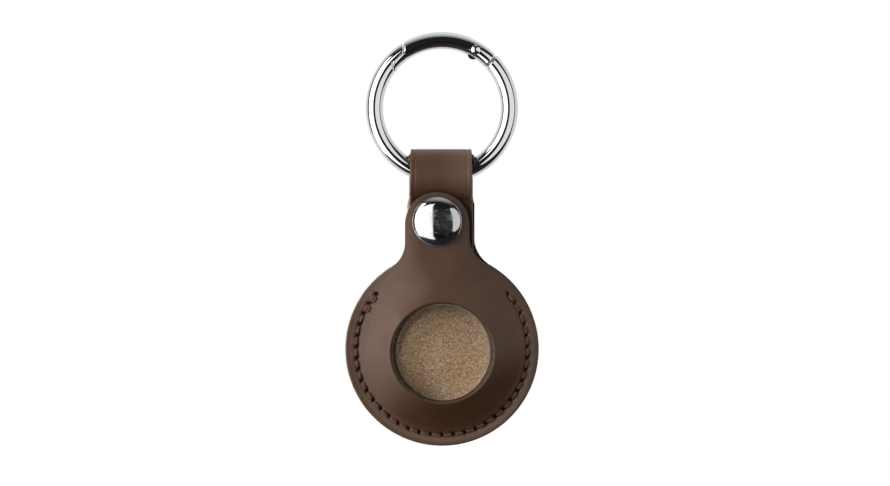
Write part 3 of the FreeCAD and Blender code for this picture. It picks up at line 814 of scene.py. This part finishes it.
# %% Back lining
grid, pits, _ = back_shell(60, 2, LINING_COLUMNS, LINING_COLUMNS, 0.0, SUEDE, edge=0.05, marked=False)
back_suede = back_piece("back_suede", grid, LINING_COLUMNS, (suede, suede))
point_values(back_suede, pit=pits)
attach(back_suede, "holder")
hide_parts("back_lining")

# %% [markdown]
# The thread is three plies twisted together. Each stitch comes up out of its needle hole, lies over the
# leather and goes down into the next one, so the seam reads as short ropes between dark holes. At the
# left end the seam is locked by sewing back over the last two holes, which doubles the thread there.

# %% Seam
STITCH_SINK, STITCH_POINTS = 0.75, 17
STITCH_BOW, STITCH_HEIGHT, LOCK_BOW, LOCK_HEIGHT = 0.05, 0.2, -0.62, 0.18
PLY_RADIUS, PLY_TURNS = 0.17, 1.4


def stitch_line(stitch, side, bow, height):
    """Middle line of one stitch on the front (-1) or the back (1); its middle is bowed out or in."""
    share = np.linspace(0, 1, STITCH_POINTS)
    angle = -SEAM_SWEEP / 2 + stitch * STITCH_ANGLE + STITCH_ANGLE * share
    radius = SEAM_RADIUS + bow * np.sin(math.pi * share)
    x, z = radius * np.sin(angle), BODY_Z - radius * np.cos(angle)
    face = front_height(x, z, PANEL) if side < 0 else back_height(x, z, PANEL)
    lift = (height + STITCH_SINK) * ease(np.minimum(share, 1 - share), 0.06, 0.3) - STITCH_SINK
    return np.stack([x, SEAM_Y + side * (face + lift), z], 1)


def plied(line, plies, ply_radius, lay, turns, sides):
    """Twisted plies along a line: points and faces of closed tubes."""
    along = np.gradient(line, axis=0)
    along /= np.linalg.norm(along, axis=1)[:, None]
    beside = np.cross(along, np.array([0.0, 1.0, 0.0]))
    beside /= np.linalg.norm(beside, axis=1)[:, None]
    above = np.cross(beside, along)
    count = len(line)
    faces = tube_faces(count, sides, "flat")
    tubes = []
    for ply in range(plies):
        turn = 2 * math.pi * (turns * np.linspace(0, 1, count) + ply / plies)
        middle = line + lay * (np.cos(turn)[:, None] * beside + np.sin(turn)[:, None] * above)
        spins = [2 * math.pi * step / sides for step in range(sides)]
        rings = [middle + ply_radius * (math.cos(spin) * beside + math.sin(spin) * above) for spin in spins]
        tubes.append((np.stack(rings, 1).reshape(-1, 3), faces))
    return join(tubes)


def seam_piece(name, side, node):
    stitches = [(stitch, STITCH_BOW, STITCH_HEIGHT) for stitch in range(STITCHES)]
    stitches += [(stitch, LOCK_BOW, LOCK_HEIGHT) for stitch in (0, 1)]
    points, faces = join([plied(stitch_line(stitch, side, bow, height), 3, PLY_RADIUS, PLY_RADIUS, PLY_TURNS, 7)
                          for stitch, bow, height in stitches])
    piece = new_piece(name, points, faces, (thread,))
    # Painted shade on the thread's ends, inside the needle holes.
    point_values(piece, pit=seam_marks(points[:, 0], points[:, 2])[1])
    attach(piece, "holder")
    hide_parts(node)


seam_piece("seam_front", -1, "front_stitches")
seam_piece("seam_back", 1, "back_stitches")

# %% [markdown]
# The ring is one round bar, and the gate is the piece of it that turns on the pin. Chrome shows every
# flaw of a mesh, so both are laid out as a fine grid round the bar, with shaped ends: a circle about the
# pin at the hinge, and two circles with a step between them at the latch, so that the gate's lip tucks
# under the ring's. Every end is rounded off a little, because a plated edge is never sharp, and those
# roundings draw the dark and bright lines of the joints.

# %% Ends of the bar
RING_RADIUS, BAR_RADIUS = 16.875, 2.125
PIN_TURN = math.radians(60)
TAIL_REACH, LATCH_OUTER, LATCH_INNER = 4.8, 17.9, 20.9
LATCH_STEP, STEP_ROUND = RING_RADIUS - 0.1, 0.05
JOINT_GAP, JOINT_ROUND, JOINT_CROWN = 0.2, 0.4, 0.3


def turn_from_pin(radius, reach):
    """Angle at the ring's centre between the pin and a point at this radius and reach from the pin."""
    share = (radius ** 2 + RING_RADIUS ** 2 - reach ** 2) / (2 * radius * RING_RADIUS)
    return np.arccos(np.clip(share, -1, 1))


def tail_turn(radius, grow):
    return PIN_TURN - turn_from_pin(radius, TAIL_REACH + grow)


def latch_turn(radius, grow):
    step = LATCH_STEP + grow
    reach = LATCH_INNER + (LATCH_OUTER - LATCH_INNER) * ease(radius, step - STEP_ROUND, step + STEP_ROUND)
    return PIN_TURN + turn_from_pin(radius, reach + grow)


# %% Bar of the ring
BAR_SIDES, SIDE_CROWD, END_ROWS = 224, 0.3, 24
END_SHARES, ROUND_TURNS = (0.12, 0.3, 0.5, 0.7, 0.86), np.radians((90, 72, 54, 36, 18, 0))


def bar_rows(end, way, crown_way, plain_turn):
    """Rows from the middle of an end's face over its rounding and along the bar to a plain turn, and the
    point in the middle of the end."""
    spin = np.linspace(0, 2 * math.pi, BAR_SIDES, endpoint=False)
    spin = spin + SIDE_CROWD * np.sin(2 * spin)

    def row(scale, back):
        radius = RING_RADIUS + BAR_RADIUS * scale * np.cos(spin)
        crown = JOINT_CROWN * (1 - (scale * np.sin(spin)) ** 2)
        return radius, scale, end(radius) + (way * back + crown_way * crown) / radius

    rounding = JOINT_ROUND / BAR_RADIUS
    rows = [row(scale * (1 - rounding), 0.0) for scale in END_SHARES]
    for angle in ROUND_TURNS:
        rows.append(row(1 - rounding * (1 - math.cos(angle)), JOINT_ROUND * (1 - math.sin(angle))))
    radius, scale, first = rows[-1]
    for share in np.linspace(0, 1, END_ROWS)[1:]:
        rows.append((radius, scale, first + (plain_turn - first) * share))
    points = [np.stack([radius * np.cos(turn), BAR_RADIUS * scale * np.sin(spin), radius * np.sin(turn)], 1)
              for radius, scale, turn in rows]
    tip = float(end(np.array(RING_RADIUS))) + crown_way * JOINT_CROWN / RING_RADIUS
    return np.array(points), np.array([[RING_RADIUS * math.cos(tip), 0, RING_RADIUS * math.sin(tip)]])


def bar_piece(name, low_end, low_turn, high_end, high_turn, crown_way, count):
    """Closed bar from one shaped end to the other; its end faces swell out (-1) or are hollow (1)."""
    low, low_tip = bar_rows(low_end, 1, crown_way, low_turn)
    high, high_tip = bar_rows(high_end, -1, -crown_way, high_turn)
    x, y, z = low[-1].T
    between_ends = []
    for share in np.linspace(0, 1, count)[1:-1]:
        turn = (high_turn - low_turn) * share
        between_ends.append(np.stack([x * math.cos(turn) - z * math.sin(turn), y,
                                      x * math.sin(turn) + z * math.cos(turn)], 1))
    grid = np.concatenate([low, np.array(between_ends), high[::-1]])
    points = np.concatenate([grid.reshape(-1, 3), low_tip, high_tip])
    return new_piece(name, points, tube_faces(len(grid), BAR_SIDES, "poles"), (chrome,))


# %% [markdown]
# The hinge is cut and joined with booleans, as a mill would do it: a slot in the gate's tail, a pocket for
# the spring and seats for the pin's heads, and on the ring a flat tongue with a heel that the spring pushes
# against. Flat cutters are safe for this, and only a few small faces of the bar are touched.

# %% Cutters for the hinge
PIN_X, PIN_Z = RING_RADIUS * math.cos(PIN_TURN), RING_RADIUS * math.sin(PIN_TURN)
SLOT_HALF, SLOT_RADIUS = 0.8, 3.07
TONGUE_HALF, TONGUE_WIDTH, TONGUE_ROOT = 0.65, 3.0, 2.0
HEEL_RADIUS, HEEL_REACH = 1.3, 2.72
HEEL_IN = HEEL_REACH - HEEL_RADIUS
PIN_RADIUS, PIN_HEAD, PIN_GAP, PIN_PLAY, PIN_SEAT, PIN_CROWN = 0.7, 1.15, 0.16, 0.05, 1.825, 2.325
SPRING_LENGTH, SPRING_HALF = 6.6, 0.725
THROUGH, FAR_OUT = 3, 2.4 * RING_RADIUS
SHARP_EDGE = math.radians(38)


def from_pin(along, inward):
    """Point of the ring's plane, along the gate from the pin and inward from it."""
    return (PIN_X - along * math.sin(PIN_TURN) - inward * math.cos(PIN_TURN),
            PIN_Z + along * math.cos(PIN_TURN) - inward * math.sin(PIN_TURN))


def flat_tool(shape, low, high):
    """A plate with an outline in the ring's plane, from one depth to another."""
    points = [(x, y, z) for y in (low, high) for x, z in shape]
    return new_piece("tool", points, tube_faces(2, len(shape), "flat"))


def cut(piece, tool, operation):
    """Cut a tool out of a piece, or join it on, and put the tool away."""
    step = piece.modifiers.new("hinge", "BOOLEAN")
    step.operation, step.object, step.solver = operation, tool, "EXACT"
    shaped = bpy.data.meshes.new_from_object(piece.evaluated_get(bpy.context.evaluated_depsgraph_get()))
    piece.modifiers.clear()
    old, piece.data = piece.data, shaped
    shaped.name = piece.name
    for mesh in (old, tool.data):
        bpy.data.meshes.remove(mesh)


pin_spot = (PIN_X, PIN_Z)
heel_spot = from_pin(0, HEEL_IN)
print("pin at", np.round(pin_spot, 2), "heel at", np.round(heel_spot, 2))

# %% Gate
gate_bar = bar_piece("gate_bar", lambda radius: tail_turn(radius, 0), math.radians(50),
                     lambda radius: latch_turn(radius, 0), math.radians(119), crown_way=-1, count=72)
tail_slot = np.vstack([(0, 0), arc_points(0, 0, FAR_OUT, PIN_TURN - math.pi / 2, PIN_TURN, 9)])
spring_end = HEEL_RADIUS + SPRING_LENGTH
spring_slot = [from_pin(along, HEEL_IN + side) for along, side in (
    (HEEL_RADIUS, -SPRING_HALF), (spring_end, -SPRING_HALF), (spring_end, SPRING_HALF), (HEEL_RADIUS, SPRING_HALF))]
head_seat = circle(pin_spot, PIN_HEAD + PIN_GAP)
for shape, low, high in ((circle(pin_spot, SLOT_RADIUS), -SLOT_HALF, SLOT_HALF),
                         (tail_slot, -SLOT_HALF, SLOT_HALF), (spring_slot, -SLOT_HALF, SLOT_HALF),
                         (circle(pin_spot, PIN_RADIUS + PIN_PLAY), -THROUGH, THROUGH),
                         (head_seat, PIN_SEAT, THROUGH), (head_seat, -THROUGH, -PIN_SEAT)):
    cut(gate_bar, flat_tool(shape, low, high), "DIFFERENCE")
gate_bar.data.set_sharp_from_angle(angle=SHARP_EDGE)
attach(gate_bar, "gate")
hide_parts("ring_gate")
print("gate_bar", len(gate_bar.data.polygons), "faces")

# %% Ring
ring_bar = bar_piece("ring_bar", lambda radius: latch_turn(radius, JOINT_GAP), math.radians(142),
                     lambda radius: 2 * math.pi + tail_turn(radius, JOINT_GAP), math.radians(398),
                     crown_way=1, count=200)
root_turn = PIN_TURN - (TAIL_REACH + TONGUE_ROOT) / RING_RADIUS
tongue_out, tongue_in = [arc_points(0, 0, RING_RADIUS + side * TONGUE_WIDTH / 2, root_turn, PIN_TURN, 20)
                         for side in (1, -1)]
tongue = np.concatenate([tongue_out, tongue_in[::-1]])
for shape in (tongue, circle(pin_spot, TONGUE_WIDTH / 2), circle(heel_spot, HEEL_RADIUS)):
    cut(ring_bar, flat_tool(shape, -TONGUE_HALF, TONGUE_HALF), "UNION")
cut(ring_bar, flat_tool(circle(pin_spot, PIN_RADIUS), -THROUGH, THROUGH), "DIFFERENCE")
ring_bar.data.set_sharp_from_angle(angle=SHARP_EDGE)
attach(ring_bar, "ring")
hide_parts("ring_body")
print("ring_bar", len(ring_bar.data.polygons), "faces")

# %% [markdown]
# The gate closes by itself, so a small compression spring lies in its pocket, between the ring's heel and
# the pocket's end. As the gate swings in, the heel pushes the coils together. The spring rides on the gate,
# and its coils are drawn at one fixed length.

# %% Spring
SPRING_COIL, SPRING_WIRE, SPRING_TURNS, SPRING_ROOM = 0.475, 0.15, 6, 0.1
turn = np.linspace(0, 2 * math.pi * SPRING_TURNS, 28 * SPRING_TURNS)
end_room = SPRING_ROOM + SPRING_WIRE
advance = HEEL_RADIUS + end_room + (SPRING_LENGTH - 2 * end_room) * turn / turn[-1]
x, z = from_pin(advance, HEEL_IN + SPRING_COIL * np.sin(turn))
coil = np.stack([x, SPRING_COIL * np.cos(turn), z], 1)
points, faces = plied(coil, plies=1, ply_radius=SPRING_WIRE, lay=0.0, turns=0.0, sides=10)
spring_coil = new_piece("spring_coil", points, faces, (steel,))
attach(spring_coil, "gate")
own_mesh(spring_coil)
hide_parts("gate_spring")

# %% [markdown]
# The pin's heads and the snap's cap are turned forms, so a profile spun round an axis makes them. The cap
# is pressed from sheet: nearly flat on top, rounder towards its edge, with a short wall that beds into the
# leather. It sits a little slanted on the soft tab, which moves its highlights off the middle.

# %% Turned pieces
TURNED_EDGE = math.radians(50)


def lathe(name, profile, x, z, sides, finish, slant=0.0):
    """Spin (radius, y) points round an axis along Y; the first and the last one lie on the axis. What stands
    before the leather can be slanted."""
    turn = np.linspace(0, 2 * math.pi, sides, endpoint=False)
    rows = []
    for radius, y in profile[1:-1]:
        tilt = radius * slant * np.cos(turn) * (y < FRONT_FACE - 0.5)
        rows.append(np.stack([x + radius * np.cos(turn), y - tilt, z + radius * np.sin(turn)], 1))
    points = np.concatenate(rows + [[[x, profile[0][1], z], [x, profile[-1][1], z]]])
    piece = new_piece(name, points, tube_faces(len(rows), sides, "poles"), (finish,))
    piece.data.set_sharp_from_angle(angle=TURNED_EDGE)
    return piece


# %% Pin
HEAD_DROP, HEAD_POWER, HEAD_GAP = 0.4, 2.2, 0.02
front_head = [(PIN_HEAD * share, -(PIN_CROWN - HEAD_DROP * share ** HEAD_POWER)) for share in np.linspace(0, 1, 14)]
front_head += [(PIN_HEAD, -PIN_SEAT - HEAD_GAP), (PIN_RADIUS, -PIN_SEAT - HEAD_GAP)]
pin_line = front_head + [(radius, -y) for radius, y in front_head[::-1]]
hinge_pin = lathe("hinge_pin", pin_line, PIN_X, PIN_Z, 64, chrome)
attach(hinge_pin, "ring")
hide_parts("gate_pin")

# %% Cap
CAP_Z, CAP_RADIUS, CAP_SLANT = -28.4, 6.1, 0.126
CAP_TOP, CROWN_RADIUS, CROWN_EDGE, EDGE_ROUND, LIP_ROUND = -9.2, 22.5, 4.0, 3.87, 0.13
EDGE_SLOPE, LIP_SLOPE = math.radians(44), math.radians(86)
CAP_FOOT, CAP_BED, CAP_CHAMFER = FRONT_FACE - 0.04, FRONT_FACE + 0.1, 0.02
RIVET_RADIUS, RIVET_FOOT, FLANGE_RADIUS, FLANGE_DEPTH = 1.5, -4.7, 1.8, 0.25
crown_slope = math.asin(CROWN_EDGE / CROWN_RADIUS)
cap_line = [(0.0, CAP_TOP)]
for bend, first, last, count in ((CROWN_RADIUS, 0.0, crown_slope, 24), (EDGE_ROUND, crown_slope, EDGE_SLOPE, 16),
                                 (LIP_ROUND, EDGE_SLOPE, LIP_SLOPE, 16)):
    radius, y = cap_line[-1]
    for slope in np.linspace(first, last, count)[1:]:
        cap_line.append((radius + bend * (math.sin(slope) - math.sin(first)),
                         y + bend * (math.cos(first) - math.cos(slope))))
print("cap edge at", np.round(cap_line[-1], 2))
cap_line += [(cap_line[-1][0] + CAP_CHAMFER, CAP_FOOT - CAP_CHAMFER), (CAP_RADIUS, CAP_FOOT), (CAP_RADIUS, CAP_BED),
             (RIVET_RADIUS, CAP_BED), (RIVET_RADIUS, RIVET_FOOT), (FLANGE_RADIUS, RIVET_FOOT),
             (FLANGE_RADIUS, RIVET_FOOT + FLANGE_DEPTH), (0, RIVET_FOOT + FLANGE_DEPTH)]
cap_dome = lathe("cap_dome", cap_line, TAB_SHIFT, CAP_Z, 128, chrome_worn, CAP_SLANT)
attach(cap_dome, "flap")
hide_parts("snap_cap")

# %% Metal nodes
for node, finish in (("snap_socket", chrome), ("snap_stud", chrome), ("snap_post", chrome), ("socket_clip", steel)):
    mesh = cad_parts[node].data
    mesh.materials.clear()
    mesh.materials.append(finish)
    print(node, "in", finish.name)

# %% [markdown]
# The studio. A pale floor lies below the holder and the world is white to the camera. In the mirror of
# the chrome the room counts more than the lamps: two bright cards to the left, a dimmer, wide and round
# one to the right, a grey glow overhead, and between them the dark of the room behind the camera. The
# cards are for the shine only. The lamps light the leather and leave no highlight, and a narrow spot
# lights the suede behind the window's wall.

# %% World
ROOM_DARK, ROOM_BRIGHT, ROOM_TURN = 0.018, 0.56, 0.18
GLOW, OVERHEAD_FROM, OVERHEAD = 0.7, 0.72, 0.66
world = bpy.data.worlds.new("studio")
scene.world = world
world.use_nodes = True
tree = world.node_tree
tree.nodes.clear()
heading = operate(tree, "SeparateXYZ", [add_node(tree, "TexCoord").outputs["Generated"]]).outputs
aside = maths(tree, "MULTIPLY_ADD", heading["X"], ROOM_TURN, heading["Y"])
behind = map_range(tree, aside, -0.02, 0.15)
room = mix_colour(tree, behind, grey(ROOM_DARK), grey(ROOM_BRIGHT))
camera_ray, sent_on = ray_kinds(tree)
seen = maths(tree, "MULTIPLY_ADD", sent_on, maths(tree, "MULTIPLY", behind, GLOW), camera_ray, clamp=True)
overhead = maths(tree, "MULTIPLY", sent_on, map_range(tree, heading["Z"], OVERHEAD_FROM, 1.0, 0.0, OVERHEAD))
lit = mix_colour(tree, overhead, room, WHITE)
background = filled(tree, "Background", Color=mix_colour(tree, seen, lit, WHITE))
filled(tree, "OutputWorld", Surface=background.outputs[0])
print(world.name, len(tree.nodes), "nodes")

# %% Floor
FLOOR_Z, FLOOR_RADIUS, FLOOR_SIDES = -300.0, 900.0, 96
FLOOR_HIDDEN, FADE_FROM, FADE_TO, FADE_LEAST = 0.02, 0.2, 0.75, 0.4
floor_finish, tree, shader, shade = mottled("floor_pale", (0.78,) * 3, (0.82,) * 3, 30.0, 1.0)
camera_ray, sent_on = ray_kinds(tree)
place = surface_place(tree)
front = map_range(tree, operate(tree, "SeparateXYZ", [place]).outputs["Y"], 0.05, -0.03)
hidden = maths(tree, "MULTIPLY", front, maths(tree, "SUBTRACT", 1.0, camera_ray))
fill(tree, shader, Base_Color=mix_colour(tree, hidden, shade["Color"], grey(FLOOR_HIDDEN)), Roughness=0.7,
     Specular_IOR_Level=0.1)
away = vectors(tree, "LENGTH", place).outputs["Value"]
fade = map_range(tree, away, FADE_FROM, FADE_TO, FADE_LEAST, 1.0)
behind = maths(tree, "MULTIPLY", sent_on, maths(tree, "SUBTRACT", 1.0, front))
seen = maths(tree, "ADD", camera_ray, behind, clamp=True)
white = add_node(tree, "Emission")
faded = operate(tree, "MixShader",
                (maths(tree, "MULTIPLY", fade, seen), shader.outputs[0], white.outputs[0]))
fill(tree, tree.nodes["Material Output"], Surface=faded.outputs[0])
floor = new_piece("floor", [(x, y, FLOOR_Z) for x, y in circle((0, 0), FLOOR_RADIUS, FLOOR_SIDES)],
                  [tuple(range(FLOOR_SIDES))], (floor_finish,))

# %% Lamps
HOLDER_MIDDLE = np.array([0.0, 0.0, -0.035])
CARD_DISTANCE, LAMP_DISTANCE, LAMP_SIZE = 0.4, 0.45, 0.3
SPOT_AIM = np.array([-8.2, 0.9, WINDOW_Z + 3.4]) * MM


def hang(lamp, aim, azimuth, elevation, distance):
    """Hang a lamp so that it faces a point; azimuth is to the right of the camera's side."""
    side, rise = math.radians(azimuth), math.radians(elevation)
    way = np.array([math.sin(side) * math.cos(rise), -math.cos(side) * math.cos(rise), math.sin(rise)])
    hung = show(lamp.name, lamp)
    hung.location = aim + way * distance
    hung.rotation_euler = (math.pi / 2 - rise, 0, side)
    hung.visible_camera = False
    print(lamp.name, "at", np.round(hung.location, 2))
    return hung


def panel(name, shape, azimuth, elevation, distance, width, height, radiance):
    """A softbox that faces the holder."""
    lamp = bpy.data.lights.new(name, "AREA")
    lamp.shape = shape
    lamp.size, lamp.size_y = width, height
    lamp.energy = radiance * math.pi * width * height
    return hang(lamp, HOLDER_MIDDLE, azimuth, elevation, distance)


for card in (("card_left", "RECTANGLE", -38.5, -3, CARD_DISTANCE, 0.268, 0.60, 1.95),
             ("card_far_left", "RECTANGLE", -68.3, 2, CARD_DISTANCE, 0.157, 0.76, 3.4),
             ("card_right", "ELLIPSE", 38, 6, CARD_DISTANCE, 0.50, 0.46, 0.78)):
    panel(*card).visible_diffuse = False
for name, azimuth, elevation, radiance in (
        ("lamp_key", -65, 10, 4.5), ("lamp_high", -65, 40, 2.9), ("lamp_front", -40, 10, 2.3),
        ("lamp_right", 80, 10, 1.6), ("lamp_low", 50, -25, 1.1)):
    lamp = panel(name, "RECTANGLE", azimuth, elevation, LAMP_DISTANCE, LAMP_SIZE, LAMP_SIZE, radiance)
    lamp.visible_glossy = False
spot = bpy.data.lights.new("spot_window", "SPOT")
spot.energy, spot.spot_size, spot.spot_blend, spot.shadow_soft_size = 2.8, math.radians(2.3), 0.8, 0.010
hang(spot, SPOT_AIM, azimuth=-12, elevation=10, distance=LAMP_DISTANCE).visible_glossy = False

# %% Camera
DISTANCE, VIEW_WIDTH, VIEW_X, VIEW_Z = 1.2, 0.2225, 0.00075, -0.03375
camera = bpy.data.cameras.new("camera")
viewer = scene.camera = show("camera", camera)
camera.sensor_width = 36.0
camera.lens = camera.sensor_width * DISTANCE / VIEW_WIDTH
viewer.location = (VIEW_X, -DISTANCE, VIEW_Z)
viewer.rotation_euler = (math.pi / 2, 0, 0)
scene.view_settings.view_transform = "Standard"
print("lens:", round(camera.lens, 1), "mm")
